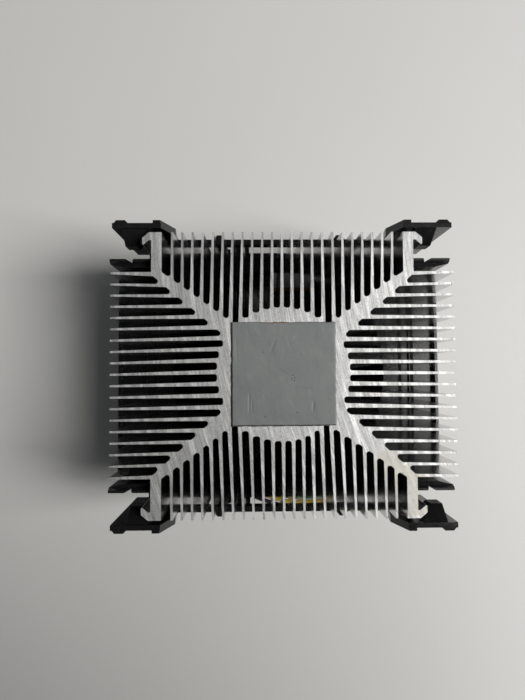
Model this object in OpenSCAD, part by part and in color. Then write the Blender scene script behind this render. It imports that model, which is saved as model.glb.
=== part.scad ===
// Boxed processor cooler: extruded heatsink, fan shroud with its motor, and two lever clips.
// The processor side faces +Z and the fan side faces -Z. X runs along the longer side.
// The origin is the centre of the thermal pad's contact face.

/* [Heatsink] */
// Length of the extrusion's outline along X
hs_length = 83; // [82:0.5:84]
// Width of the extrusion's outline along Y
hs_width = 68.8; // [68.6:0.1:69]
// Height of the extrusion, from its base to the fan side
hs_height = 27; // [26.5:0.25:28]
// Number of fins on each short side
x_fins = 19; // [19]
// Distance between the fins on the short sides
x_pitch = 2.72; // [2.71:0.01:2.73]
// Number of fins on each long side, between the corner pillars
y_fins = 23; // [23]
// Distance between the fins on the long sides
y_pitch = 2.43; // [2.42:0.01:2.44]
// Thickness of a fin at its tip
fin_tip = 0.46; // [0.42:0.02:0.56]
// Growth of a fin's thickness for each millimetre towards its root
fin_taper = 0.022; // [0.016:0.002:0.024]
// Radius of the round core
core_r = 16; // [15.8:0.1:16.2]
// Width of a corner pillar
pillar_w = 2.5; // [2.4:0.05:2.5]

/* [Thermal pad] */
// Size of the pad along X
pad_x = 25.2; // [20:0.2:27]
// Size of the pad along Y
pad_y = 25; // [20:0.2:27]
// Thickness of the pad
pad_t = 0.35; // [0.2:0.05:0.5]

/* [Fan] */
// Number of impeller blades
blades = 7; // [5:1:9]
// Inner radius of the fan duct
duct_r = 30.6; // [30.4:0.1:30.8]
// Radius of the impeller over its blades
blade_r = 29.9; // [29:0.1:30]
// Radius of the rotor hub
hub_r = 17; // [16.8:0.1:17.2]
// Radius of the rotor shaft
shaft_r = 1.5; // [1.4:0.05:1.5]

/* [Clips] */
// Distance of the lever pins from the middle, along X
pin_x = 16.4; // [16:0.1:17]
// Radius of the lever pins
pin_r = 1.5; // [1.3:0.1:1.6]
// Offset of the round cam from its pin, which is half of the cam's stroke
cam_offset = 0.75; // [0.6:0.05:0.8]

/* [Hidden] */

$fn = 64;
fit = 0.05;            // radial clearance of fixed round fits
running = 0.04;        // radial clearance of running fits
past = 1;              // how far cutting shapes run past a face

// Heights, all below the pad's contact face
base_z = -pad_t;
fin_end_z = base_z - hs_height;
plate_t = 3;
plate_z = fin_end_z - plate_t;
rim_z = fin_end_z - 27.65;

// Heatsink section
half_x = hs_length / 2;
half_y = hs_width / 2;
pillar_x = 30.5;
pillar_out = pillar_x + pillar_w / 2;
x_field = (x_fins - 1) / 2 * x_pitch;      // middle of the outermost short-side fin
y_field = (y_fins - 1) / 2 * y_pitch;      // middle of the outermost long-side fin
notch_y = x_field + fin_tip / 2;
slot_round = 0.6;
arm_start = [13.37, 13.4];                 // where the long-side slots begin to end on an arm
arm_rise = 0.71;
side_arm_start = [15, 9.52];               // the same for the short-side slots
side_arm_run = 1.114;

// Shroud
plate_x = 34.5;
plate_y = 35.3;
duct_wall = 1.8;
duct_out = duct_r + duct_wall;
wing_x = 46.2;
wing_y = 28.2;
wing_t = 1.9;
arm_in = pillar_out + 0.2;
arm_out = 42.05;
arm_skew = 0.45;       // the arms reach further out on the -X side
arm_groove = 35.9;
arm_y = 28.5;
window_x = [-1.2, 10.8];
arm_end_z = -3;
lead_angle = 250;      // direction of the strut that carries the lead
strut_angles = [10, 130, lead_angle];

// Motor
bracket_z = fin_end_z - 0.5;
bracket_t = 2.5;
board_z = bracket_z - bracket_t;
board_t = 1.2;
tube_r = 4.2;
tube_bore = 3.3;
bearing_t = 2.5;
race_out = 2.8;
race_in = 2.05;
balls = 7;
ball_r = 0.33;
hub_top_z = fin_end_z - 6.05;
hub_end_z = hub_top_z - 17.8;
bearing_z = hub_top_z - 0.8;
tube_end_z = hub_end_z + 4.2;
stator_z = hub_end_z + 9.2;
stator_h = 6;
pole_w = 3.2;
label_t = 0.15;

// Clips
strap_y = 35.4;
strap_t = 1.5;
strap_z = fin_end_z + 10.15;
strap_h = 3;
leg_y = 35.4;
leg_t = 1.25;
leg_top_z = -0.2;
leg_end_z = fin_end_z - 1.6;
rail_h = 5.5;
rail_z = fin_end_z + 5.35;
ear_t = 0.8;
leg_x = 41.2;
post_y = strap_y + strap_t;
post_t = 1.2;
post_w = 3.5;
pin_z = plate_z - 4.1;
lever_y = 34.6;
lever_t = 2.1;
lever_h = 3.6;
cam_r = 3.2;
cam_t = 3;

// Lead: middle line of its three wires as [x, y, depth, lean], with the depth measured from the
// fan end of the fins. At lean 0 the wires lie side by side, and at lean 90 one below the other.
wire_r = 0.65;
wire_gap = 1.5;
wire_sides = 8;
lead_route = [
    [-5.5, -15, 3.85, 0], [-7, -19.2, 3.85, 0], [-8.5, -23.4, 3.85, 0],
    [-9.9, -27.3, 3.85, 0], [-10.9, -30.6, 3.85, 0], [-9, -33.3, 3.85, 0],
    [-5.4, -35.1, 3.85, 0], [-1.4, -36.5, 3.85, 0], [2.8, -37.6, 3.85, 0],
    [6.2, -37.8, 3.85, 0], [9.8, -36.6, 3.85, 0], [13, -33.9, 3.95, 0],
    [16.4, -30.9, 5.4, 0], [20.6, -28, 9.05, 0], [24.5, -24.8, 13.05, 15],
    [28, -20.6, 16.65, 50], [31.1, -15.2, 18.95, 85], [33.4, -9, 19.45, 90],
    [34.6, -2, 19.45, 90], [34.4, 4.6, 19.45, 90], [33.6, 10.4, 19.45, 90],
    [33.6, 15.4, 19.45, 90], [32.4, 20, 19.45, 90], [29.2, 23.6, 19.45, 90]];
lead_steps = 2;        // rings for each stretch of the route

// Plug, parked in the corner beside the duct
plug_angle = 45;
plug_r = 37.3;
plug_size = [5.8, 13, 9.2];
plug_z = fin_end_z - 19.45;

// ---------- helpers ----------

function unit(v) = v / norm(v);

// Rounds the corner between two neighbours with an arc of radius r
function fillet(before, corner, after, r) =
    let (u = unit(before - corner), v = unit(after - corner), half = acos(u * v) / 2)
    let (middle = corner + unit(u + v) * r / sin(half), reach = r / tan(half))
    [for (i = [0 : 4])
        middle + r * unit((1 - i / 4) * (corner + reach * u) + i / 4 * (corner + reach * v) - middle)];

// Half of a fin's thickness, at a depth measured inwards from its tip
function fin_half(depth) = (fin_tip + fin_taper * depth) / 2;

// Where the slots end: on the round core, or along the edge of a diagonal arm
function core_edge(v) = abs(v) < core_r ? sqrt(core_r * core_r - v * v) : 0;
function x_slot_end(y, middle) =
    max(core_edge(middle), side_arm_start[0] + (abs(y) - side_arm_start[1]) * side_arm_run);
function y_slot_end(x, middle) =
    max(core_edge(middle), arm_start[1] + (abs(x) - arm_start[0]) * arm_rise);

// How far the drawn fins wander from their even pitch, at the root and at the tip of each side
function swell(v, at, w, h) = h * exp(-pow((v - at) / w, 2));
function east_root(y) = 0.15 + swell(y, -9, 7, 0.42) - swell(y, 24, 8, 0.45);
function west_root(y) = 0.3 + swell(y, 4, 7, 0.35) - swell(y, 25, 8, 0.75);
function north_root(x) = -0.28 - swell(x, -9.5, 4.5, 0.35) + swell(x, -26, 5, 0.3) + swell(x, 12, 4, 0.35);
function south_root(x) = -0.12 - swell(x, -11, 6.5, 0.75) - swell(x, 12, 5.5, 0.75);
function north_tip(x) = swell(x, -17, 6, 0.16) - swell(x, 5, 7, 0.18);
function south_tip(x) = swell(x, -14, 4, 0.1) - swell(x, 4, 5, 0.14) + swell(x, 14, 4, 0.08);

module ring(outer, inner, h) {
    difference() {
        cylinder(r = outer, h = h);
        translate([0, 0, -past]) cylinder(r = inner, h = h + 2 * past);
    }
}

// Mirrors a part drawn for the +X +Y corner into all four
module at_corners() {
    for (sx = [0, 1], sy = [0, 1]) mirror([sx, 0, 0]) mirror([0, sy, 0]) children();
}

module half_turn() {
    rotate([0, 0, 180]) children();
}

// ---------- heatsink ----------

// A slot between two short-side fins, on the +X side. The fins' roots wander by lo_root and hi_root.
module x_slot(y, lo_root, hi_root) {
    lo = y - x_pitch / 2;
    hi = y + x_pitch / 2;
    depth = half_x - x_slot_end(y, y);
    lo_y = lo + fin_half(depth);
    hi_y = hi - fin_half(depth);
    a = [x_slot_end(lo_y, y), lo_y + lo_root];
    b = [x_slot_end(hi_y, y), hi_y + hi_root];
    tip_a = [half_x + past, lo + fin_half(0)];
    tip_b = [half_x + past, hi - fin_half(0)];
    polygon(concat([tip_b], fillet(tip_b, b, a, slot_round), fillet(b, a, tip_a, slot_round), [tip_a]));
}

// A slot on the +Y side between two upright edges: its ends at the root and at the tip
module y_slot(lo, hi, lo_half, hi_half, lo_sway, hi_sway) {
    middle = (lo + hi) / 2;
    depth = half_y - y_slot_end(middle, middle);
    grow = fin_half(depth) - fin_half(0);
    lo_x = lo + lo_half + (lo_half < pillar_w / 2 ? grow : 0);
    hi_x = hi - hi_half - (hi_half < pillar_w / 2 ? grow : 0);
    a = [lo_x + lo_sway[0], y_slot_end(lo_x, middle)];
    b = [hi_x + hi_sway[0], y_slot_end(hi_x, middle)];
    tip_a = [lo + lo_half + lo_sway[1], half_y + past];
    tip_b = [hi - hi_half + hi_sway[1], half_y + past];
    polygon(concat([tip_a], fillet(tip_a, a, b, slot_round), fillet(a, b, tip_b, slot_round), [tip_b]));
}

// The open corner beside a pillar. Its edge leaves the hook that juts outwards from the pillar.
module corner_notch() {
    polygon([
        [half_x + past, notch_y], [pillar_out, notch_y], [pillar_out, 32.45], [pillar_out + 0.55, 32.5],
        [33.7, 31.35], [33.95, 31.5], [33.95, 33.05], [pillar_out + 0.6, half_y],
        [pillar_out + 0.6, half_y + past], [half_x + past, half_y + past]
    ]);
}

module heatsink_section() {
    no_sway = [0, 0];
    difference() {
        square([hs_length, hs_width], center = true);
        at_corners() corner_notch();
        for (side = [0, 1]) mirror([side, 0, 0]) for (i = [0 : x_fins - 2]) {
            y = (i + 0.5) * x_pitch - x_field;
            lo = y - x_pitch / 2;
            hi = y + x_pitch / 2;
            x_slot(y, side == 0 ? east_root(lo) : west_root(lo), side == 0 ? east_root(hi) : west_root(hi));
        }
        for (side = [0, 1]) mirror([0, side, 0]) {
            for (i = [0 : y_fins - 2]) {
                lo = i * y_pitch - y_field;
                y_slot(lo, lo + y_pitch, fin_tip / 2, fin_tip / 2, y_sway(side, lo), y_sway(side, lo + y_pitch));
            }
            y_slot(y_field, pillar_x, fin_tip / 2, pillar_w / 2, y_sway(side, y_field), no_sway);
            y_slot(-pillar_x, -y_field, pillar_w / 2, fin_tip / 2, no_sway, y_sway(side, -y_field));
        }
    }
}

function y_sway(side, x) = side == 0 ? [north_root(x), north_tip(x)] : [south_root(x), south_tip(x)];

module heatsink() {
    color([0.80, 0.80, 0.79]) translate([0, 0, fin_end_z]) linear_extrude(hs_height) heatsink_section();
}

module thermal_pad() {
    color([0.47, 0.48, 0.48]) translate([-pad_x / 2, -pad_y / 2, base_z]) cube([pad_x, pad_y, pad_t]);
}

// ---------- shroud ----------

// A ridge along a wing, steep on its inner side, with its crest at x
module wing_ridge(x, length) {
    translate([0, length / 2, 0]) rotate([90, 0, 0]) linear_extrude(length)
        polygon([[x, plate_z + wing_t - 0.1], [x, fin_end_z - 0.25], [x + 0.2, fin_end_z - 0.25],
            [x + 1.5, plate_z + wing_t], [x + 1.5, plate_z + wing_t - 0.1]]);
}

module wing() {
    translate([plate_x - 1, -wing_y, plate_z]) cube([wing_x - plate_x + 1, 2 * wing_y, wing_t]);
    wing_ridge(plate_x + 0.15, 44);
    wing_ridge(38.2, 48);
    // Raised outer edge
    translate([wing_x - 0.8, -wing_y, plate_z]) cube([0.8, 2 * wing_y, plate_t + 0.9]);
}

// Tab that reaches out under a strap
module strap_tab() {
    translate([-13.7, plate_y - 1, plate_z + 0.5]) cube([5.3, 4.7, plate_t - 0.5]);
}

module shroud_plate() {
    difference() {
        union() {
            translate([-plate_x, -plate_y, plate_z]) cube([2 * plate_x, 2 * plate_y, plate_t]);
            wing();
            mirror([1, 0, 0]) wing();
            strap_tab();
            mirror([0, 1, 0]) strap_tab();
        }
        translate([0, 0, plate_z - past]) cylinder(r = duct_r, h = plate_t + 2 * past);
    }
}

// An arm that stands in a corner notch of the heatsink, with a groove down its outer face
module corner_arm(skew) {
    out = arm_out + skew;
    groove = arm_groove + 1.8 * skew;
    foot_z = plate_z + wing_t - 0.5;
    difference() {
        translate([0, 0, foot_z]) linear_extrude(arm_end_z - foot_z)
            polygon([
                [arm_in, arm_y - 2.1], [out - 3.5, arm_y - 2.1], [out, arm_y - 1.2], [out, arm_y],
                [groove + 1.9, arm_y], [groove + 0.3, arm_y - 0.9], [groove, arm_y], [arm_in, arm_y]
            ]);
        // Sloping lead-in at the free end
        translate([arm_in - past, arm_y - 2.9, arm_end_z]) rotate([-30, 0, 0])
            translate([0, -4, 0]) cube([14, 6, 6]);
    }
}

// A moulded hook on the duct that holds the three wires
module wire_hook(angle) {
    rotate([0, 0, angle]) {
        translate([duct_out - 0.4, -1.25, plug_z + 2.6]) cube([5, 2.5, 1.2]);
        translate([duct_out + 3.5, -1.25, plug_z - 0.2]) cube([1.1, 2.5, 3.2]);
        translate([duct_out - 0.4, -1.25, plug_z - 3.9]) cube([3.4, 2.5, 1.2]);
    }
}

// The perch that carries the parked plug
module plug_perch() {
    rotate([0, 0, plug_angle]) {
        translate([duct_out - 0.4, -4, plug_z - plug_size[2] / 2 - 1.5]) cube([8.6, 8, 1.4]);
        translate([plug_r + plug_size[0] / 2 + 0.1, -4, plug_z - plug_size[2] / 2 - 1.5]) cube([1.2, 8, 3.6]);
        translate([duct_out - 0.4, -4, plug_z + plug_size[2] / 2 + 0.1]) cube([8.6, 8, 1.2]);
    }
}

// Seats in the plate for the ends of the motor struts
module strut_seats() {
    for (a = strut_angles) rotate([0, 0, a])
        translate([duct_r - 2, -2.6, plate_z - past]) cube([4.1, 5.2, bracket_t + past + 0.1]);
}

module fan_shroud() {
    color([0.06, 0.06, 0.065]) {
        difference() {
            union() {
                shroud_plate();
                translate([0, 0, rim_z]) ring(duct_out, duct_r, plate_z - rim_z + 0.5);
            }
            // Way out for the lead, under the strut that carries it
            rotate([0, 0, lead_angle]) translate([duct_r - 2, -2.7, plate_z - 2.2]) cube([6, 6.6, 2.7]);
            strut_seats();
            // Side window in the duct, open at the rim
            translate([window_x[0], duct_r - 3, rim_z - past])
                cube([window_x[1] - window_x[0], 8, plate_z - 2.2 - rim_z + past]);
        }
        for (sx = [0, 1], sy = [0, 1]) mirror([sx, 0, 0]) mirror([0, sy, 0])
            corner_arm(sx == 0 ? -arm_skew : arm_skew);
        wire_hook(-12);
        wire_hook(14);
        plug_perch();
    }
}

// ---------- fan motor, fixed side ----------

module motor_bracket() {
    color([0.08, 0.08, 0.085]) difference() {
        union() {
            translate([0, 0, board_z]) cylinder(r = 17.5, h = bracket_t);
            for (a = strut_angles) rotate([0, 0, a])
                translate([16, -2.3, board_z]) cube([duct_r - 16 + 1.9, 4.6, bracket_t]);
            // Shelf over the circuit board's tab
            translate([-2.4, 10, board_z]) cube([10.4, 12.4, bracket_t]);
        }
        translate([0, 0, board_z - past]) cylinder(r = tube_r + fit, h = bracket_t + 2 * past);
    }
}

module bearing_label() {
    color([0.72, 0.72, 0.70]) translate([0, 0, bracket_z]) cylinder(r = 9, h = label_t);
}

module circuit_board() {
    color([0.05, 0.30, 0.14]) difference() {
        union() {
            translate([0, 0, board_z - board_t]) cylinder(r = 15.5, h = board_t);
            translate([-2, 10, board_z - board_t]) cube([9.5, 15.8, board_t]);
        }
        translate([0, 0, board_z - board_t - past]) cylinder(r = tube_r + fit, h = board_t + 2 * past);
    }
}

module driver_chip() {
    color([0.05, 0.05, 0.055]) translate([7.2, 6.5, board_z - board_t - 1.2]) cube([4, 3, 1.2]);
}

module hall_sensor() {
    color([0.07, 0.07, 0.075]) rotate([0, 0, 135])
        translate([12.6, -1.5, board_z - board_t - 1]) cube([1.6, 3, 1]);
}

module thermistor() {
    color([0.10, 0.16, 0.12]) translate([1.2, 21.6, board_z - board_t - 0.8]) cube([2.4, 1.4, 0.8]);
}

module bearing_tube() {
    color([0.72, 0.60, 0.32]) translate([0, 0, tube_end_z]) ring(tube_r, tube_bore, bracket_z - 0.4 - tube_end_z);
}

module ball_bearing_outer() {
    color([0.62, 0.63, 0.65]) translate([0, 0, bearing_z]) ring(tube_bore - 0.02, race_out, bearing_t);
}

module ball_bearing_inner() {
    color([0.62, 0.63, 0.65]) translate([0, 0, bearing_z]) ring(race_in, shaft_r + 0.02, bearing_t);
}

module bearing_balls() {
    color([0.75, 0.76, 0.78]) for (i = [0 : balls - 1]) rotate([0, 0, i * 360 / balls])
        translate([(race_out + race_in) / 2, 0, bearing_z + bearing_t / 2]) sphere(r = ball_r, $fn = 24);
}

module sleeve_bearing() {
    color([0.66, 0.48, 0.26]) translate([0, 0, tube_end_z + 0.4]) ring(tube_bore - 0.02, shaft_r + running, 7);
}

module preload_washer() {
    color([0.60, 0.61, 0.63]) translate([0, 0, bearing_z - 0.55]) ring(tube_bore - 0.1, 2.5, 0.3);
}

module stator_section() {
    difference() {
        union() {
            circle(r = 6.5);
            for (a = [0 : 90 : 270]) rotate([0, 0, a]) translate([5, -pole_w / 2]) square([5.8, pole_w]);
            // Pole shoes, with four gaps between them
            difference() {
                circle(r = 12.2);
                circle(r = 10.6);
                for (a = [45 : 90 : 315]) rotate([0, 0, a]) translate([5, -1.6]) square([10, 3.2]);
            }
        }
        circle(r = tube_r + fit);
    }
}

module stator_core() {
    color([0.45, 0.46, 0.48]) translate([0, 0, stator_z]) linear_extrude(stator_h) stator_section();
}

module bobbin_section() {
    difference() {
        union() {
            circle(r = 6.6);
            for (a = [0 : 90 : 270]) rotate([0, 0, a]) translate([5, -1.9]) square([5.4, 3.8]);
        }
        circle(r = tube_r + 0.1);
    }
}

module winding_bobbins() {
    color([0.88, 0.86, 0.78]) {
        translate([0, 0, stator_z + stator_h]) linear_extrude(0.7) bobbin_section();
        translate([0, 0, stator_z - 0.7]) linear_extrude(0.7) bobbin_section();
    }
}

module stator_windings() {
    color([0.72, 0.36, 0.16]) for (a = [0 : 90 : 270]) rotate([0, 0, a]) difference() {
        translate([7, -3, stator_z - 2]) cube([3, 6, stator_h + 4]);
        translate([6, -2, stator_z - 0.8]) cube([6, 4, stator_h + 1.6]);
    }
}

// ---------- fan motor, turning side ----------

// Cambered section of a blade, in the plane of its chord and its thickness
blade_chord = 19;
blade_camber = 2.2;
blade_thick = 1.3;
function camber(u) = 4 * blade_camber * u * (1 - u);
function thickness(u) = blade_thick * (0.35 + 2.6 * u * (1 - u));
blade_outline = concat(
    [for (i = [0 : 8]) let (u = i / 8) [(u - 0.5) * blade_chord, camber(u) + thickness(u) / 2]],
    [for (i = [8 : -1 : 0]) let (u = i / 8) [(u - 0.5) * blade_chord, camber(u) - thickness(u) / 2]]
);

module blade() {
    rotate([90, 0, 90]) rotate([0, 0, 42]) linear_extrude(duct_r) polygon(blade_outline);
}

module impeller() {
    color([0.07, 0.07, 0.075]) {
        difference() {
            translate([0, 0, hub_end_z]) cylinder(r = hub_r, h = hub_top_z - hub_end_z);
            translate([0, 0, hub_end_z + 1.6]) cylinder(r = hub_r - 1.6, h = 30);
        }
        difference() {
            translate([0, 0, hub_end_z + 1.5]) cylinder(r = 3.6, h = 2.4);
            translate([0, 0, hub_end_z + 1.6]) cylinder(r = shaft_r, h = 5);
        }
        intersection() {
            translate([0, 0, hub_end_z]) ring(blade_r, hub_r - 0.6, hub_top_z - hub_end_z);
            for (i = [0 : blades - 1]) rotate([0, 0, i * 360 / blades + 12])
                translate([0, 0, (hub_top_z + hub_end_z) / 2]) blade();
        }
    }
}

cup_r = hub_r - 1.6 - fit;
cup_end_z = hub_end_z + 1.6;
shaft_top_z = fin_end_z - 1.25;
ring_z = board_z;

module rotor_cup() {
    color([0.50, 0.51, 0.53]) difference() {
        translate([0, 0, cup_end_z]) cylinder(r = cup_r, h = hub_top_z - 0.6 - cup_end_z);
        translate([0, 0, cup_end_z + 0.8]) cylinder(r = cup_r - 0.8, h = 30);
        translate([0, 0, cup_end_z - past]) cylinder(r = 3.7, h = 5);
    }
}

module rotor_magnet() {
    color([0.18, 0.16, 0.15]) translate([0, 0, stator_z - 3]) ring(cup_r - 0.85, cup_r - 2.7, 10);
}

module rotor_shaft() {
    color([0.75, 0.76, 0.78]) difference() {
        translate([0, 0, cup_end_z]) cylinder(r = shaft_r, h = shaft_top_z - cup_end_z);
        // Groove for the retaining ring
        translate([0, 0, ring_z - 0.05]) ring(shaft_r + past, shaft_r - 0.3, 0.5);
    }
}

module retaining_ring() {
    color([0.30, 0.31, 0.33]) translate([0, 0, ring_z]) difference() {
        ring(2.6, shaft_r - 0.28, 0.4);
        translate([0, -0.7, -past]) cube([5, 1.4, 3]);
    }
}

module hub_label() {
    color([0.80, 0.80, 0.78]) translate([0, 0, hub_end_z - label_t]) cylinder(r = 14.5, h = label_t);
}

// ---------- clips and levers, drawn for the +Y side ----------

// Outline of a leg in X and Z
leg_outline = [[29.4, leg_top_z], [leg_x, leg_top_z], [leg_x, leg_end_z], [27.8, leg_end_z], [27.8, -16], [27, -8]];

// Stands an X-Z outline up as a wall that grows towards +Y
module wall(y, t) {
    translate([0, y + t, 0]) rotate([90, 0, 0]) linear_extrude(t) children();
}

// Tooth that catches the retention post, with a ramp towards the leg's free end. Its plan runs
// from the base on the leg to the tip.
module leg_tooth(base, tip, tip_y) {
    intersection() {
        translate([0, 0, -8.6]) linear_extrude(8.2)
            polygon([[base[0], leg_y + 0.1], [base[1], leg_y + 0.1], [tip[1], tip_y], [tip[0], tip_y]]);
        translate([30, 0, 0]) rotate([90, 0, 90]) linear_extrude(12)
            polygon([[leg_y + 0.1, -0.6], [tip_y, -4.6], [tip_y, -8.6], [leg_y + 0.1, -8.6]]);
    }
}

module clip_leg() {
    outer_y = leg_y + leg_t - 0.1;
    wall(leg_y, leg_t) polygon(leg_outline);
    // Ribs down both edges of the outer face
    wall(outer_y, ear_t) polygon([[29.6, leg_top_z], [31.4, leg_top_z], [29.2, -8], [30, -16],
        [30, leg_end_z], [27.8, leg_end_z], [27.8, -16], [27, -8]]);
    translate([0, 0, leg_end_z]) linear_extrude(leg_top_z - leg_end_z)
        polygon([[37.3, outer_y], [40.9, outer_y], [40.2, outer_y + ear_t], [38.1, outer_y + ear_t]]);
    // Rail that slides around the pillar's hook
    translate([0, 0, rail_z]) linear_extrude(rail_h) polygon([[34.35, leg_y + 0.1], [35.35, leg_y + 0.1],
        [35.35, 30.4], [32.7, 30.4], [32.7, 31.05], [34.35, 31.05]]);
}

// Tapered post that runs from the strap down to the pin
module clip_post(x) {
    translate([0, 0, pin_z]) linear_extrude(strap_z - pin_z)
        polygon([[x - post_w / 2, post_y - 0.1], [x + post_w / 2, post_y - 0.1], [x + 0.7, post_y + post_t],
            [x - 0.7, post_y + post_t]]);
}

module clip_frame() {
    difference() {
        union() {
            translate([-28.4, strap_y, strap_z - strap_h]) cube([56.8, strap_t, strap_h]);
            for (side = [0, 1]) mirror([side, 0, 0]) clip_leg();
            leg_tooth([32.2, 37.7], [34.7, 37.4], 32);
            mirror([1, 0, 0]) leg_tooth([32.8, 39], [36.1, 39], 32);
            clip_post(pin_x);
            clip_post(-pin_x);
            // Round boss for the lever pin
            translate([pin_x, post_y - 0.1, pin_z]) rotate([-90, 0, 0]) cylinder(r = 3, h = post_t + 0.1);
            // Stop that the closed lever rests against
            translate([-pin_x - 1.4, post_y - 1.4, pin_z + lever_h / 2 + 0.1]) cube([2.8, 1.6, 1.4]);
            translate([-pin_x - 2.2, post_y, pin_z - 2]) cube([4.4, post_t, 3]);
        }
        translate([pin_x, post_y - past, pin_z]) rotate([-90, 0, 0]) cylinder(r = pin_r, h = post_t + 2 * past);
    }
}

module lever_pin() {
    translate([pin_x, lever_y - cam_t - 0.4, pin_z]) rotate([-90, 0, 0])
        cylinder(r = pin_r, h = post_y + post_t - lever_y + cam_t + 0.4);
    translate([pin_x, post_y + post_t, pin_z]) rotate([-90, 0, 0]) cylinder(r = 2.2, h = 0.6);
}

module cam_lever() {
    difference() {
        union() {
            // Hub, bar and finger tab
            translate([pin_x, lever_y, pin_z]) rotate([-90, 0, 0]) cylinder(r = 2.7, h = lever_t);
            translate([-23, lever_y, pin_z - lever_h / 2]) cube([pin_x + 23, lever_t, lever_h]);
            wall(lever_y, lever_t) polygon([
                [-22.5, pin_z + lever_h / 2], [-29, pin_z + lever_h / 2], [-29.8, pin_z + 0.9],
                [-29.8, pin_z - 3.6], [-28.8, pin_z - 4.6], [-26.4, pin_z - 4.6], [-22.5, pin_z - lever_h / 2]
            ]);
            translate([-29.8, lever_y, pin_z - 3.4]) cube([1.6, 4.2, 3.6]);
            // Stiffening lip along the bar's inner side
            translate([-22, lever_y - 0.9, pin_z - 0.6]) cube([pin_x + 16, 1, 1.2]);
            // Round cam, set off from the pin towards the shroud plate
            translate([pin_x, lever_y - cam_t, pin_z + cam_offset]) rotate([-90, 0, 0])
                cylinder(r = cam_r, h = cam_t + 0.1);
        }
        translate([pin_x, lever_y - cam_t - past, pin_z]) rotate([-90, 0, 0])
            cylinder(r = pin_r + running, h = lever_t + cam_t + 2 * past);
    }
}

module clip_frame_north() { color([0.055, 0.055, 0.06]) clip_frame(); }
module clip_frame_south() { color([0.055, 0.055, 0.06]) half_turn() clip_frame(); }
module lever_pin_north() { color([0.70, 0.71, 0.73]) lever_pin(); }
module lever_pin_south() { color([0.70, 0.71, 0.73]) half_turn() lever_pin(); }
module cam_lever_north() { color([0.065, 0.065, 0.07]) cam_lever(); }
module cam_lever_south() { color([0.065, 0.065, 0.07]) half_turn() cam_lever(); }

// ---------- lead and plug ----------

function place(i) = [lead_route[i][0], lead_route[i][1], fin_end_z - lead_route[i][2]];
lead_last = len(lead_route) - 1;
function clamped(i) = max(0, min(lead_last, i));

// Smooth curve through the route's points
function spline(a, b, c, d, t) =
    0.5 * (2 * b + (c - a) * t + (2 * a - 5 * b + 4 * c - d) * t * t + (3 * b - a - 3 * c + d) * t * t * t);
function lead_at(i, t) = spline(place(clamped(i - 1)), place(i), place(clamped(i + 1)), place(clamped(i + 2)), t);
function lean_at(i, t) = (1 - t) * lead_route[i][3] + t * lead_route[clamped(i + 1)][3];

lead_points = concat(
    [for (i = [0 : lead_last - 1], j = [0 : lead_steps - 1]) lead_at(i, j / lead_steps)], [place(lead_last)]);
lead_leans = concat(
    [for (i = [0 : lead_last - 1], j = [0 : lead_steps - 1]) lean_at(i, j / lead_steps)], [90]);
rings = len(lead_points);

function along(points, i) = unit(points[min(rings - 1, i + 1)] - points[max(0, i - 1)]);
function sideways(i) = let (d = along(lead_points, i)) unit([-d[1], d[0], 0]);

// Middle line of one wire: index -1, 0 or 1 across the bundle
function wire_line(k) = [for (i = [0 : rings - 1])
    lead_points[i] + k * wire_gap * (cos(lead_leans[i]) * sideways(i) + sin(lead_leans[i]) * [0, 0, 1])];

module tube(points, r) {
    rim = [for (i = [0 : rings - 1]) let (d = along(points, i), s = unit([-d[1], d[0], 0]), u = cross(d, s))
        for (j = [0 : wire_sides - 1]) let (a = j * 360 / wire_sides) points[i] + r * (cos(a) * s + sin(a) * u)];
    sides = [for (i = [0 : rings - 2], j = [0 : wire_sides - 1]) let (n = (j + 1) % wire_sides)
        [i * wire_sides + n, i * wire_sides + j, (i + 1) * wire_sides + j, (i + 1) * wire_sides + n]];
    start = [[for (j = [0 : wire_sides - 1]) j]];
    finish = [[for (j = [wire_sides - 1 : -1 : 0]) (rings - 1) * wire_sides + j]];
    polyhedron(rim, concat(sides, start, finish));
}

module wire_black() { color([0.04, 0.04, 0.04]) tube(wire_line(-1), wire_r); }
module wire_yellow() { color([0.85, 0.68, 0.12]) tube(wire_line(0), wire_r); }
module wire_green() { color([0.10, 0.45, 0.18]) tube(wire_line(1), wire_r); }

module at_plug() {
    rotate([0, 0, plug_angle]) translate([plug_r, 0, plug_z]) children();
}

module connector_housing() {
    color([0.90, 0.89, 0.84]) at_plug() difference() {
        union() {
            cube(plug_size, center = true);
            // Two keying ribs on the outer side
            for (sz = [-1, 1]) translate([plug_size[0] / 2 - 0.1, -6.5, sz * 2.4 - 0.4]) cube([0.1, 8, 0.8]);
        }
        for (k = [-1, 0, 1]) {
            translate([-1, 1, k * 2.54 - 1]) cube([2, 8, 2]);
            translate([-0.9, -8, k * 1.5 - 0.7]) cube([1.8, 9.5, 1.4]);
        }
    }
}

module connector_terminals() {
    color([0.80, 0.76, 0.60]) at_plug() for (k = [-1, 0, 1])
        translate([-0.8, 1.6, k * 2.54 - 0.8]) difference() {
            cube([1.6, 4, 1.6]);
            translate([0.3, 1, 0.3]) cube([1, 4, 1]);
        }
}

heatsink();
thermal_pad();
fan_shroud();
motor_bracket();
bearing_label();
circuit_board();
driver_chip();
hall_sensor();
thermistor();
bearing_tube();
ball_bearing_outer();
sleeve_bearing();
preload_washer();
stator_core();
winding_bobbins();
stator_windings();
impeller();
rotor_cup();
rotor_magnet();
rotor_shaft();
retaining_ring();
ball_bearing_inner();
bearing_balls();
hub_label();
clip_frame_north();
clip_frame_south();
lever_pin_north();
lever_pin_south();
cam_lever_north();
cam_lever_south();
wire_black();
wire_yellow();
wire_green();
connector_housing();
connector_terminals();
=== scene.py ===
"""Looks of the boxed processor cooler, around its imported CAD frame."""

import math

import bpy
from mathutils import Euler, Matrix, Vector, noise


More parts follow.
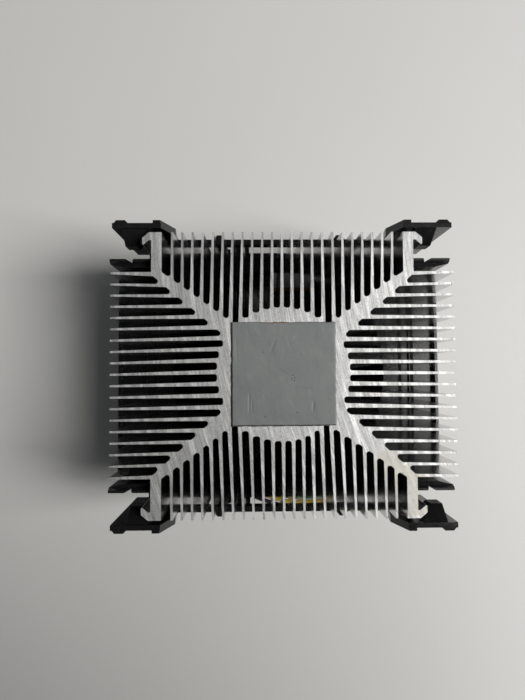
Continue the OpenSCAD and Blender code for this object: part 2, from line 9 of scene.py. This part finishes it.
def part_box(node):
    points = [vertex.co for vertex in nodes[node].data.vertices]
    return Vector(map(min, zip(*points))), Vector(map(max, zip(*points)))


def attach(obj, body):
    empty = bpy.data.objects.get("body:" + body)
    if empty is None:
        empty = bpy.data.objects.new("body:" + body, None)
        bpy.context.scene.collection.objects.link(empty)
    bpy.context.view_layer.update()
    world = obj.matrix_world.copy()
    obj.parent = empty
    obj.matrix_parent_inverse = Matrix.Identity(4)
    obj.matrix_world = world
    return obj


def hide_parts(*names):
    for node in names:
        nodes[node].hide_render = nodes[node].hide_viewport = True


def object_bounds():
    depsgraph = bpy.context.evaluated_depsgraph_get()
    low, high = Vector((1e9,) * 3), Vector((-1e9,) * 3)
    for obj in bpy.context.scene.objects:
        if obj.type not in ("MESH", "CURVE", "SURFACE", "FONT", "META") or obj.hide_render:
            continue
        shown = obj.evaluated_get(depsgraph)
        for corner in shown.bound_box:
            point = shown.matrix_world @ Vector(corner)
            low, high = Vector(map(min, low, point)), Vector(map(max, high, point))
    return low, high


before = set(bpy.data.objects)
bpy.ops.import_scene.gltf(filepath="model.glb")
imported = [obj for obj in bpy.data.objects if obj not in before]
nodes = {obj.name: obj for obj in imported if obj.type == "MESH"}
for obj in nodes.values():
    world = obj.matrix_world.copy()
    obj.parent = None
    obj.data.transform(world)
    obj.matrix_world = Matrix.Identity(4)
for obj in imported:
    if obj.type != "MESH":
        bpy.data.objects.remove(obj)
cad_lo, cad_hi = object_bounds()
scene = bpy.context.scene
MM = 0.001


# ---------- camera ----------


def make_camera():
    """A phone lens straight above the base, tilted by a few degrees."""
    place = Vector((-6.8, 0.0, 125.7)) * MM
    tilt = [math.radians(a) for a in (2.62, -0.79, -0.345)]
    cam = bpy.data.cameras.new("camera")
    cam.sensor_width = 36
    cam.lens = 27.05
    cam.clip_start, cam.clip_end = 0.005, 10
    ob = bpy.data.objects.new("camera", cam)
    ob.location = place
    ob.rotation_euler = Euler(tilt)
    scene.collection.objects.link(ob)
    scene.camera = ob


# ---------- node material helpers ----------


class Mat:
    """A procedural material in the frame's own coordinates, in metres."""

    def __init__(self, name):
        self.mat = bpy.data.materials.new(name)
        self.mat.use_nodes = True
        self.nt = self.mat.node_tree
        self.bsdf = self.nt.nodes["Principled BSDF"]
        self.coord = self.nt.nodes.new("ShaderNodeTexCoord")

    def put(self, socket, value):
        """Links a node's output to the socket, or sets a plain value. None leaves the socket alone."""
        if isinstance(value, bpy.types.NodeSocket):
            self.nt.links.new(value, socket)
        elif value is not None:
            socket.default_value = value

    def node(self, kind, out=0, props=None, **inputs):
        """A shader node's output. Inputs go by name, or by number as i0, i1."""
        n = self.nt.nodes.new("ShaderNode" + kind)
        for k, v in (props or {}).items():
            setattr(n, k, v)
        for k, v in inputs.items():
            key = int(k[1:]) if k in ("i0", "i1") else k
            self.put(n.inputs[key], v)
        return n.outputs[out]

    def math(self, op, a, b=None, clamp=False):
        return self.node("Math", props={"operation": op, "use_clamp": clamp}, i0=a, i1=b)

    def split(self, vector):
        """The three numbers of a vector."""
        n = self.nt.nodes.new("ShaderNodeSeparateXYZ")
        self.put(n.inputs[0], vector)
        return n.outputs

    def space(self, scale=(1, 1, 1), turn=(0, 0, 0)):
        """The object's own coordinates in millimetres, turned, then stretched."""
        turn = [math.radians(t) for t in turn]
        turned = self.node("Mapping", Vector=self.coord.outputs["Object"], Rotation=turn)
        return self.node("Mapping", Vector=turned, Scale=[s / MM for s in scale])

    def noise(self, vector, size, detail=3.0, rough=0.55, distort=0.0):
        """Noise whose features are about size millimetres across, centred on 0.5."""
        values = {"Detail": detail, "Roughness": rough, "Distortion": distort}
        return self.node("TexNoise", Vector=vector, Scale=1 / size, **values)

    def ramp(self, value, *stops):
        """Maps a value through (position, grey or colour) stops."""
        n = self.nt.nodes.new("ShaderNodeValToRGB")
        self.put(n.inputs["Fac"], value)
        items = n.color_ramp.elements
        while len(items) < len(stops):
            items.new(0.5)
        for item, (pos, c) in zip(items, stops):
            item.position = pos
            item.color = (*c, 1) if hasattr(c, "__len__") else (c, c, c, 1)
        return n.outputs["Color"]

    def mix(self, fac, a, b):
        """a where fac is 0 and b where it is 1."""
        n = self.nt.nodes.new("ShaderNodeMix")
        n.data_type = "RGBA"
        self.put(n.inputs["Factor"], fac)
        for sock, v in ((n.inputs[6], a), (n.inputs[7], b)):
            if isinstance(v, (int, float)):
                v = (v, v, v, 1)
            elif isinstance(v, tuple) and len(v) == 3:
                v = (*v, 1)
            self.put(sock, v)
        return n.outputs[2]

    def bump(self, height, distance, strength):
        """height runs from 0 to 1 over distance millimetres."""
        return self.node("Bump", Strength=strength, Distance=distance * MM, Height=height)

    def finish(self, colour, rough, normal=None, metal=0.0, specular=0.5):
        self.put(self.bsdf.inputs["Base Color"], colour)
        self.put(self.bsdf.inputs["Roughness"], rough)
        self.put(self.bsdf.inputs["Normal"], normal)
        self.bsdf.inputs["Metallic"].default_value = metal
        self.bsdf.inputs["Specular IOR Level"].default_value = specular
        return self.mat


def paint(mat, *names):
    """Gives CAD nodes a material."""
    for n in names:
        nodes[n].data.materials.clear()
        nodes[n].data.materials.append(mat)


# ---------- materials ----------


def saw_space(m, centre):
    """Millimetres across and along the arcs that a saw blade left, centred far beside the part."""
    away = m.node("VectorMath", props={"operation": "SUBTRACT"}, i0=m.space((1, 1, 0)), i1=centre)
    x, y, _ = m.split(away)
    radius = m.node("VectorMath", 1, {"operation": "LENGTH"}, i0=away)
    angle = m.math("ARCTAN2", y, m.math("MULTIPLY", x, -1.0))
    stretch = 9.0  # units of noise for each radian, so that marks are about 20 mm long
    return m.node("CombineXYZ", X=radius, Y=m.math("MULTIPLY", angle, stretch), Z=0.0)


def spot(m, x, y, size):
    """1 at a place seen from above and 0 outside size millimetres."""
    away = m.node("VectorMath", 1, {"operation": "DISTANCE"}, i0=m.space((1, 1, 0)), i1=(x, y, 0))
    return m.math("SUBTRACT", 1.0, m.math("DIVIDE", away, size), clamp=True)


def aluminium():
    """Extruded aluminium: sawn ends that face up and down, and drawn side faces like dull mirrors."""
    m = Mat("extruded_aluminium")
    upright = m.math("ABSOLUTE", m.split(m.coord.outputs["Normal"])[2])
    cut = m.math("GREATER_THAN", upright, 0.7)
    arcs = saw_space(m, (190, 45, 0))
    saw = m.noise(arcs, 0.3, 4, 0.65)
    bands = m.noise(arcs, 1.5, 3, 0.55)
    scratch = m.noise(m.space((0.05, 1.3, 0), (0, 0, -52)), 0.28, 3, 0.6)
    grain = m.noise(m.space(), 0.22, 3, 0.6)
    cloud = m.noise(m.space(), 9, 4, 0.6, 0.4)
    fine_marks = m.ramp(saw, (0.34, 0.3), (0.5, 0.52), (0.64, 0.76))
    wide_marks = m.ramp(bands, (0.38, 0.3), (0.52, 0.46), (0.58, 0.76))
    bright = m.mix(0.5, fine_marks, wide_marks)
    bright = m.mix(m.ramp(scratch, (0.62, 0.0), (0.7, 0.55)), bright, 0.72)
    bright = m.mix(m.ramp(grain, (0.32, 0.85), (0.45, 0.0)), bright, 0.2)
    bright = m.mix(m.ramp(grain, (0.58, 0.0), (0.7, 0.5)), bright, 0.8)
    bright = m.mix(m.ramp(cloud, (0.55, 0.0), (0.75, 0.35)), bright, (0.38, 0.37, 0.36))
    # A dull stain near one corner, with nicks in it
    stain = spot(m, 29.5, -25.5, 5.5)
    for x, y in ((25.3, -21.5), (31, -30.5)):
        stain = m.math("MAXIMUM", stain, spot(m, x, y, 4.5))
    ragged = m.math("MULTIPLY", m.math("SUBTRACT", cloud, 0.5), 0.8)
    patch = m.ramp(m.math("ADD", stain, ragged), (0.22, 0.0), (0.34, 0.75))
    bright = m.mix(patch, bright, (0.42, 0.41, 0.365))
    nicks = m.ramp(m.noise(m.space((0.5, 1, 0), (0, 0, 35)), 0.5, 4, 0.7), (0.6, 0.0), (0.65, 1.0))
    sawn = m.mix(m.math("MULTIPLY", nicks, patch), bright, 0.16)
    # Die lines run down the drawn faces
    lines = m.noise(m.space((1, 1, 0.02)), 0.5, 4, 0.7)
    haze = m.noise(m.space((1, 1, 0.4)), 5, 3, 0.6)
    drawn = m.mix(0.5, m.ramp(lines, (0.3, 0.55), (0.7, 0.68)), m.ramp(haze, (0.3, 0.56), (0.7, 0.68)))
    colour = m.mix(cut, drawn, sawn)
    rough = m.mix(cut, m.ramp(haze, (0.3, 0.15), (0.7, 0.25)), m.ramp(saw, (0.3, 0.68), (0.7, 0.56)))
    height = m.mix(cut, m.mix(0.94, lines, 0.5), m.mix(0.4, saw, grain))
    return m.finish(colour, rough, m.bump(height, 0.06, 0.8), metal=1.0)


# Pin holes in the pad, x and y
DARK_HOLES = [(2.1, -0.3), (2.6, -0.9), (1.9, -1.2), (2.5, -1.6), (3.1, -9.2), (-4.5, -10.2), (-5.0, 5.2)]
CLEAN_HOLES = [(-9.8, -6.8)]


def pad_material():
    """Grey phase-change pad: matt, smooth, faintly scuffed, darker along its edges."""
    m = Mat("thermal_pad_compound")
    cloud = m.noise(m.space(), 7, 4, 0.6, 0.3)
    fine = m.noise(m.space(), 0.4, 3, 0.6)
    smear = m.noise(m.space((0.35, 1.1, 1), (0, 0, 75)), 1.6, 4, 0.6, 0.6)
    base = m.ramp(cloud, (0.3, (0.138, 0.148, 0.148)), (0.7, (0.172, 0.18, 0.178)))
    base = m.mix(m.ramp(fine, (0.54, 0.0), (0.7, 0.5)), base, (0.118, 0.124, 0.124))
    base = m.mix(m.ramp(smear, (0.56, 0.0), (0.7, 0.45)), base, (0.21, 0.218, 0.212))
    base = m.mix(m.ramp(smear, (0.3, 0.5), (0.44, 0.0)), base, (0.12, 0.127, 0.127))
    # Darker along the left and near edges, and a rusty trace at the far one
    x, y, _ = m.split(m.space((1, 1, 0)))
    ragged = m.math("MULTIPLY", m.math("SUBTRACT", m.noise(m.space(), 1.1, 3, 0.6), 0.5), 0.5)
    left = m.math("ADD", m.math("SUBTRACT", -12.1, x), ragged)
    near = m.math("ADD", m.math("SUBTRACT", -12.05, y), ragged)
    dark_edge = m.ramp(m.math("MAXIMUM", left, near), (0.0, 0.0), (0.12, 0.9))
    base = m.mix(dark_edge, base, (0.03, 0.026, 0.022))
    far = m.ramp(m.math("ADD", m.math("SUBTRACT", y, 12.12), ragged), (0.0, 0.0), (0.1, 0.85))
    aside = m.math("DIVIDE", m.math("ABSOLUTE", m.math("ADD", x, 1.0)), 10.0)
    trace = m.math("MULTIPLY", far, m.ramp(aside, (0.2, 1.0), (0.35, 0.0)))
    base = m.mix(trace, base, (0.15, 0.06, 0.025))
    for px, py in DARK_HOLES:
        base = m.mix(m.ramp(spot(m, px, py, 0.3), (0.2, 0.0), (0.6, 0.8)), base, (0.05, 0.052, 0.052))
    height = m.mix(0.5, m.ramp(fine, (0.2, 0.0), (0.8, 1.0)), m.ramp(smear, (0.3, 0.0), (0.7, 1.0)))
    return m.finish(base, m.ramp(cloud, (0.3, 0.5), (0.7, 0.62)), m.bump(height, 0.02, 0.7))


def black_plastic(name, tint=0.006, rough=(0.17, 0.3)):
    """Black moulded plastic with a fine grain, dust and rubbed patches."""
    m = Mat(name)
    fine = m.noise(m.space(), 0.25, 2, 0.5)
    patch = m.noise(m.space(), 4, 4, 0.62, 0.4)
    dust = m.noise(m.space(), 0.5, 4, 0.7)
    flow = m.noise(m.space((0.15, 1, 1)), 2.2, 3, 0.5)
    rubbed = tint * 1.8
    base = m.ramp(patch, (0.3, (tint, tint, tint * 1.1)), (0.7, (rubbed, rubbed, tint * 1.9)))
    speck = m.math("MULTIPLY", m.ramp(dust, (0.66, 0.0), (0.74, 1.0)), m.ramp(patch, (0.5, 0.0), (0.7, 0.5)))
    base = m.mix(speck, base, (0.1, 0.098, 0.092))
    worn, drawn = (m.ramp(v, (0.3, rough[0]), (0.7, rough[1])) for v in (patch, flow))
    height = m.mix(0.3, m.ramp(fine, (0.2, 0.0), (0.8, 1.0)), m.ramp(flow, (0.2, 0.0), (0.8, 1.0)))
    return m.finish(base, m.mix(0.5, worn, drawn), m.bump(height, 0.02, 0.4), specular=0.32)


def steel(name, tint=(0.55, 0.56, 0.58)):
    """Turned or drawn metal with fine rings."""
    m = Mat(name)
    ring = m.noise(m.space((1, 1, 6)), 0.6, 3, 0.6)
    cloud = m.noise(m.space(), 3, 3, 0.6)
    base = m.mix(m.ramp(ring, (0.3, 0.0), (0.7, 0.5)), tint, tuple(t * 0.72 for t in tint))
    base = m.mix(m.ramp(cloud, (0.5, 0.0), (0.75, 0.3)), base, tuple(t * 0.6 for t in tint))
    return m.finish(base, m.ramp(ring, (0.3, 0.26), (0.7, 0.42)), m.bump(ring, 0.01, 0.5), metal=1.0)


def tinted(name, low, high, rough=(0.38, 0.55), grain=0.3, size=3.0, metal=0.0):
    """A coloured surface that drifts from one tint to another, with a fine grain."""
    m = Mat(name)
    patch = m.noise(m.space(), size, 3, 0.6, 0.3)
    fine = m.noise(m.space(), grain, 3, 0.6)
    base = m.mix(m.ramp(fine, (0.4, 0.0), (0.7, 0.25)), m.ramp(patch, (0.3, low), (0.7, high)), low)
    dull = m.ramp(patch, (0.3, rough[0]), (0.7, rough[1]))
    return m.finish(base, dull, m.bump(fine, 0.02, 0.5), metal)


def circuit_material():
    """Green lacquer over copper tracks, with bare laminate at the end of the tab, painted brighter there as
    painted light.
    """
    m = Mat("circuit_board_lacquer")
    weave = m.node("TexChecker", 1, Vector=m.space(), Scale=1.6)
    tracks = m.node("TexVoronoi", 0, {"feature": "DISTANCE_TO_EDGE"}, Vector=m.space(), Scale=0.45)
    track = m.ramp(tracks, (0.05, 1.0), (0.09, 0.0))
    base = m.mix(m.math("MULTIPLY", weave, 0.12), (0.006, 0.10, 0.035), (0.01, 0.14, 0.05))
    base = m.mix(m.math("MULTIPLY", track, 0.7), base, (0.03, 0.22, 0.09))
    # The tab's amber end is bare laminate, painted brighter than it is to stand in for light falling there.
    bare_lit_from = 24.6
    y = m.split(m.space())[1]
    bare_and_lit = m.ramp(m.math("SUBTRACT", y, bare_lit_from), (0.0, 0.0), (0.15, 1.0))
    base = m.mix(bare_and_lit, base, (0.48, 0.27, 0.09))
    return m.finish(base, m.ramp(tracks, (0.0, 0.25), (0.4, 0.38)), m.bump(track, 0.03, 0.5))


# ---------- pieces ----------


def tidy_edges(name, width):
    """Gives a CAD node the small rounded edges of a moulding. The node's own mesh stays as it is."""
    ob = nodes[name]
    weld = ob.modifiers.new("weld", "WELD")
    weld.merge_threshold = 0.01 * MM
    flat = ob.modifiers.new("flat", "DECIMATE")
    flat.decimate_type = "DISSOLVE"
    flat.angle_limit = math.radians(0.5)
    bevel = ob.modifiers.new("edges", "BEVEL")
    bevel.width = width * MM
    bevel.segments = 2
    bevel.limit_method = "ANGLE"
    bevel.angle_limit = math.radians(25)
    bevel.harden_normals = True


def mesh_object(name, verts, faces, mat, stands_for):
    """A smooth piece on the cooler's body, in millimetres, that replaces one CAD node."""
    mesh = bpy.data.meshes.new(name)
    mesh.from_pydata([tuple(c * MM for c in v) for v in verts], [], faces)
    mesh.polygons.foreach_set("use_smooth", [True] * len(faces))
    mesh.materials.append(mat)
    mesh.update()
    ob = bpy.data.objects.new(name, mesh)
    scene.collection.objects.link(ob)
    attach(ob, "cooler")
    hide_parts(stands_for)
    return ob


def dent(x, y, a, b, width):
    """1 halfway along the line from a to b, 0 at its ends and beyond width millimetres from it."""
    a, b, at = Vector(a), Vector(b), Vector((x, y))
    t = min(1, max(0, (at - a).dot(b - a) / (b - a).length_squared))
    away = (at - a.lerp(b, t)).length / width
    return max(0.0, 1 - away) * (4 * t * (1 - t)) ** 0.5


# Creases and scuffs in the pad: both ends, half width and depth
MARKS = [((0.3, -3.0), (6.7, -3.7), 0.25, 0.09), ((-8.2, -4.5), (-8.3, -9.3), 0.25, 0.14),
         ((-7.6, -5.6), (-7.65, -9.2), 0.2, 0.12), ((7.1, -6.4), (6.9, -9.1), 0.22, 0.12),
         ((-1.5, 9.5), (-3.2, 5.0), 0.3, 0.05), ((0.8, 9.0), (2.2, 5.2), 0.3, 0.05),
         ((-11.4, 9.5), (-11.2, 3.0), 0.3, 0.05), ((-3.0, 2.0), (1.5, -0.5), 0.4, 0.04)]


def pad_point(x, y, lo, hi):
    """Where a point of the flat pad goes: drawn in at the wavy edges, and down in its marks."""
    edge_band, edge_wave = 1.5, 0.28
    rim_width, rim_drop = 0.35, 0.1
    hole_radius, hole_depth = 0.2, 0.12
    edge = min(x - lo.x, hi.x - x, y - lo.y, hi.y - y)
    pull = max(0, 1 - edge / edge_band)
    wave = abs(noise.noise((x * 0.45, y * 0.45, 3.1))) * edge_wave * pull
    if min(x - lo.x, hi.x - x) < edge_band:
        x -= math.copysign(wave, x)
    if min(y - lo.y, hi.y - y) < edge_band:
        y -= math.copysign(wave, y)
    z = hi.z - 0.02 - rim_drop * max(0, 1 - edge / rim_width) ** 2
    z -= 0.02 * (0.5 + 0.5 * noise.noise((x * 0.25, y * 0.25, 0.7)))
    for a, b, width, depth in MARKS:
        z -= depth * dent(x, y, a, b, width)
    for hole in DARK_HOLES + CLEAN_HOLES:
        z -= hole_depth * max(0, 1 - math.dist((x, y), hole) / hole_radius)
    return x, y, z


def make_pad(mat):
    """The pad as a soft slab: wavy cut edges, a rounded rim, creases, scuffs and pin holes."""
    lo, hi = (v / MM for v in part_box("thermal_pad"))
    steps = 130
    row = steps + 1
    xs = [lo.x + (hi.x - lo.x) * i / steps for i in range(row)]
    ys = [lo.y + (hi.y - lo.y) * j / steps for j in range(row)]
    verts = [pad_point(x, y, lo, hi) for x in xs for y in ys]
    corners = [i * row + j for i in range(steps) for j in range(steps)]
    faces = [(a, a + row, a + row + 1, a + 1) for a in corners]
    # The edge all round, from the near left corner, then the side wall and the back
    rim = [i * row for i in range(row)] + [steps * row + j for j in range(1, row)]
    rim += [i * row + steps for i in range(steps - 1, -1, -1)] + list(range(steps - 1, 0, -1))
    low, count = len(verts), len(rim)
    verts += [(verts[k][0], verts[k][1], lo.z + 0.01) for k in rim]
    for k in range(count):
        after = (k + 1) % count
        faces.append((rim[k], low + k, low + after, rim[after]))
    faces.append(tuple(range(low + count - 1, low - 1, -1)))
    mesh_object("pad_sheet", verts, faces, mat, "thermal_pad")


# Middle line of the lead: x, y, z and the lean of its row of three wires in degrees
LEAD = [(-5.5, -15, -31.2, 0), (-7, -19.2, -31.2, 0), (-8.5, -23.4, -31.2, 0), (-9.9, -27.3, -31.2, 0),
        (-10.9, -30.6, -31.2, 0), (-9, -33.3, -31.2, 0), (-5.4, -35.1, -31.2, 0), (-1.4, -36.5, -31.2, 0),
        (2.8, -37.6, -31.2, 0), (6.2, -37.8, -31.2, 0), (9.8, -36.6, -31.2, 0), (13, -33.9, -31.3, 0),
        (16.4, -30.9, -32.75, 0), (20.6, -28, -36.4, 0), (24.5, -24.8, -40.4, 15), (28, -20.6, -44, 50),
        (31.1, -15.2, -46.3, 85), (33.4, -9, -46.8, 90), (34.6, -2, -46.8, 90), (34.4, 4.6, -46.8, 90),
        (33.6, 10.4, -46.8, 90), (33.6, 15.4, -46.8, 90), (32.4, 20, -46.8, 90), (29.2, 23.6, -46.8, 90)]


def lead_line():
    """Points on one smooth curve through the lead's route, each with its lean."""
    pts, leans = [Vector(p[:3]) for p in LEAD], [p[3] for p in LEAD]
    last, steps, line = len(pts) - 1, 5, []
    for i in range(last):
        a, b, c, d = pts[max(0, i - 1)], pts[i], pts[i + 1], pts[min(last, i + 2)]
        for t in (k / steps for k in range(steps)):
            straight = 2 * b + (c - a) * t
            bend = (2 * a - 5 * b + 4 * c - d) * t * t + (3 * b - a - 3 * c + d) * t ** 3
            line.append((0.5 * (straight + bend), (1 - t) * leans[i] + t * leans[i + 1]))
    line.append((pts[last], leans[last]))
    return line


def along(points, i):
    """The curve's direction at point i."""
    return (points[min(len(points) - 1, i + 1)] - points[max(0, i - 1)]).normalized()


def level(direction):
    """The level direction square to another."""
    return Vector((-direction.y, direction.x, 0)).normalized()


def make_wire(name, index, mat):
    """One smooth insulated wire of the lead. Index -1, 0 or 1 is its place across the row."""
    radius, gap, sides = 0.63, 1.5, 14
    line, up = lead_line(), Vector((0, 0, 1))
    middle, mid = [at for at, _ in line], []
    for i, (at, lean) in enumerate(line):
        lean = math.radians(lean)
        mid.append(at + index * gap * (math.cos(lean) * level(along(middle, i)) + math.sin(lean) * up))
    verts, faces = [], []
    for i, at in enumerate(mid):
        side = level(along(mid, i))
        over = along(mid, i).cross(side)
        swell = radius * (1 + 0.015 * noise.noise((i * 0.35, index * 7.0, 0.0)))
        for a in (2 * math.pi * k / sides for k in range(sides)):
            verts.append(at + swell * (math.cos(a) * side + math.sin(a) * over))
    for i in range(len(mid) - 1):
        for k in range(sides):
            a, b = i * sides + k, i * sides + (k + 1) % sides
            faces.append((b, a, a + sides, b + sides))
    faces.append(tuple(range(sides)))
    faces.append(tuple(range(len(verts) - 1, len(verts) - sides - 1, -1)))
    mesh_object("lead_" + name, verts, faces, mat, "wire_" + name)


# ---------- floor, card and light ----------


def staged_sheet(name, corners, mat):
    """A flat sheet of the setting, from its four corners in metres."""
    mesh = bpy.data.meshes.new(name)
    mesh.from_pydata(corners, [], [(0, 1, 2, 3)])
    ob = bpy.data.objects.new(name, mesh)
    mesh.materials.append(mat)
    scene.collection.objects.link(ob)
    return ob


def make_floor():
    """Plain pale board under the fan's rim."""
    m = Mat("floor_board")
    cloud = m.noise(m.space(), 60, 3, 0.5)
    fine = m.noise(m.space(), 0.8, 3, 0.6)
    base = m.mix(0.4, m.ramp(cloud, (0.3, 0.60), (0.7, 0.63)), m.ramp(fine, (0.2, 0.60), (0.8, 0.63)))
    base = m.mix(0.35, base, (0.63, 0.62, 0.58))
    mat = m.finish(base, m.ramp(fine, (0.3, 0.55), (0.7, 0.7)), m.bump(fine, 0.03, 0.3))
    half, z = 2, cad_lo.z - 0.1 * MM
    staged_sheet("floor", [(-half, -half, z), (half, -half, z), (half, half, z), (-half, half, z)], mat)


def from_sky(elevation, azimuth, distance):
    """A place seen from the object at these angles in degrees."""
    e, a = math.radians(elevation), math.radians(azimuth)
    return Vector((math.cos(e) * math.cos(a), math.cos(e) * math.sin(a), math.sin(e))) * distance


def make_card():
    """A dark card overhead, outside the view, that shades the floor as the photographer does."""
    m = Mat("dark_cloth")
    weave = m.noise(m.space(), 3, 3, 0.6)
    mat = m.finish(m.ramp(weave, (0.3, 0.03), (0.7, 0.05)), m.ramp(weave, (0.3, 0.8), (0.7, 0.9)))
    side = 0.6
    x, y, z = 0.2, -0.06, 0.27  # the corner nearest the light
    corners = [(x - side, y - side, z), (x, y - side, z), (x, y, z), (x - side, y, z)]
    staged_sheet("card", corners, mat).visible_camera = False


def make_light():
    """A soft window on the right, and a dim bluish room around."""
    world = bpy.data.worlds.new("room")
    world.use_nodes = True
    back = world.node_tree.nodes["Background"]
    back.inputs["Color"].default_value = (0.92, 0.95, 1.0, 1)
    back.inputs["Strength"].default_value = 0.11
    scene.world = world
    window = bpy.data.lights.new("window", "AREA")
    window.shape = "RECTANGLE"
    window.size, window.size_y = 0.36, 0.5
    window.energy = 12.2
    window.color = (1.0, 0.99, 0.965)
    ob = bpy.data.objects.new("window", window)
    ob.location = from_sky(52, -6, 1.0)
    ob.rotation_euler = (Vector((0, 0, -0.03)) - ob.location).to_track_quat("-Z", "Y").to_euler()
    scene.collection.objects.link(ob)
    scene.view_settings.view_transform = "Standard"


# ---------- the scene ----------

make_camera()
paint(aluminium(), "heatsink")
paint(black_plastic("clip_plastic"), "clip_frame_north", "clip_frame_south")
paint(black_plastic("lever_plastic", 0.007, (0.2, 0.34)), "cam_lever_north", "cam_lever_south")
paint(black_plastic("shroud_plastic", 0.006, (0.2, 0.34)), "fan_shroud", "motor_bracket")
paint(black_plastic("impeller_plastic", 0.006, (0.25, 0.4)), "impeller")
paint(black_plastic("chip_epoxy", 0.015, (0.45, 0.6)), "driver_chip", "hall_sensor", "thermistor")
paint(steel("pin_steel"), "lever_pin_north", "lever_pin_south", "rotor_shaft")
paint(steel("bearing_steel", (0.6, 0.6, 0.62)), "ball_bearing_outer", "ball_bearing_inner",
      "bearing_balls", "retaining_ring", "preload_washer")
paint(steel("rotor_steel", (0.42, 0.43, 0.45)), "rotor_cup", "stator_core")
paint(steel("brass", (0.62, 0.45, 0.18)), "bearing_tube")
paint(steel("terminal_tin", (0.62, 0.60, 0.52)), "connector_terminals")
paint(tinted("sintered_bronze", (0.36, 0.22, 0.09), (0.48, 0.30, 0.13), (0.4, 0.6), 0.15, 1, 0.9),
      "sleeve_bearing")
paint(tinted("magnet_rubber", (0.03, 0.027, 0.025), (0.05, 0.045, 0.04), (0.5, 0.7)), "rotor_magnet")
paint(tinted("bobbin_nylon", (0.72, 0.69, 0.58), (0.80, 0.77, 0.66)), "winding_bobbins")
paint(tinted("copper_wire", (0.48, 0.16, 0.05), (0.62, 0.24, 0.08), (0.25, 0.4), 0.3, 1, 0.9),
      "stator_windings")
paint(tinted("label_foil", (0.55, 0.55, 0.53), (0.64, 0.64, 0.61), (0.35, 0.5), 0.4, 5),
      "bearing_label", "hub_label")
paint(tinted("plug_nylon", (0.68, 0.66, 0.58), (0.78, 0.76, 0.68)), "connector_housing")
paint(circuit_material(), "circuit_board")
pad_grey = pad_material()
paint(pad_grey, "thermal_pad")
for node in ("clip_frame_north", "clip_frame_south", "cam_lever_north", "cam_lever_south", "fan_shroud",
             "connector_housing"):
    tidy_edges(node, 0.18)
make_pad(pad_grey)
insulation = {
    "black": black_plastic("insulation_black", 0.012, (0.35, 0.45)),
    "yellow": tinted("insulation_yellow", (0.55, 0.38, 0.03), (0.66, 0.47, 0.05)),
    "green": tinted("insulation_green", (0.01, 0.16, 0.04), (0.02, 0.21, 0.06)),
}
for index, name in enumerate(insulation, -1):
    paint(insulation[name], "wire_" + name)
    make_wire(name, index, insulation[name])
make_floor()
make_card()
make_light()
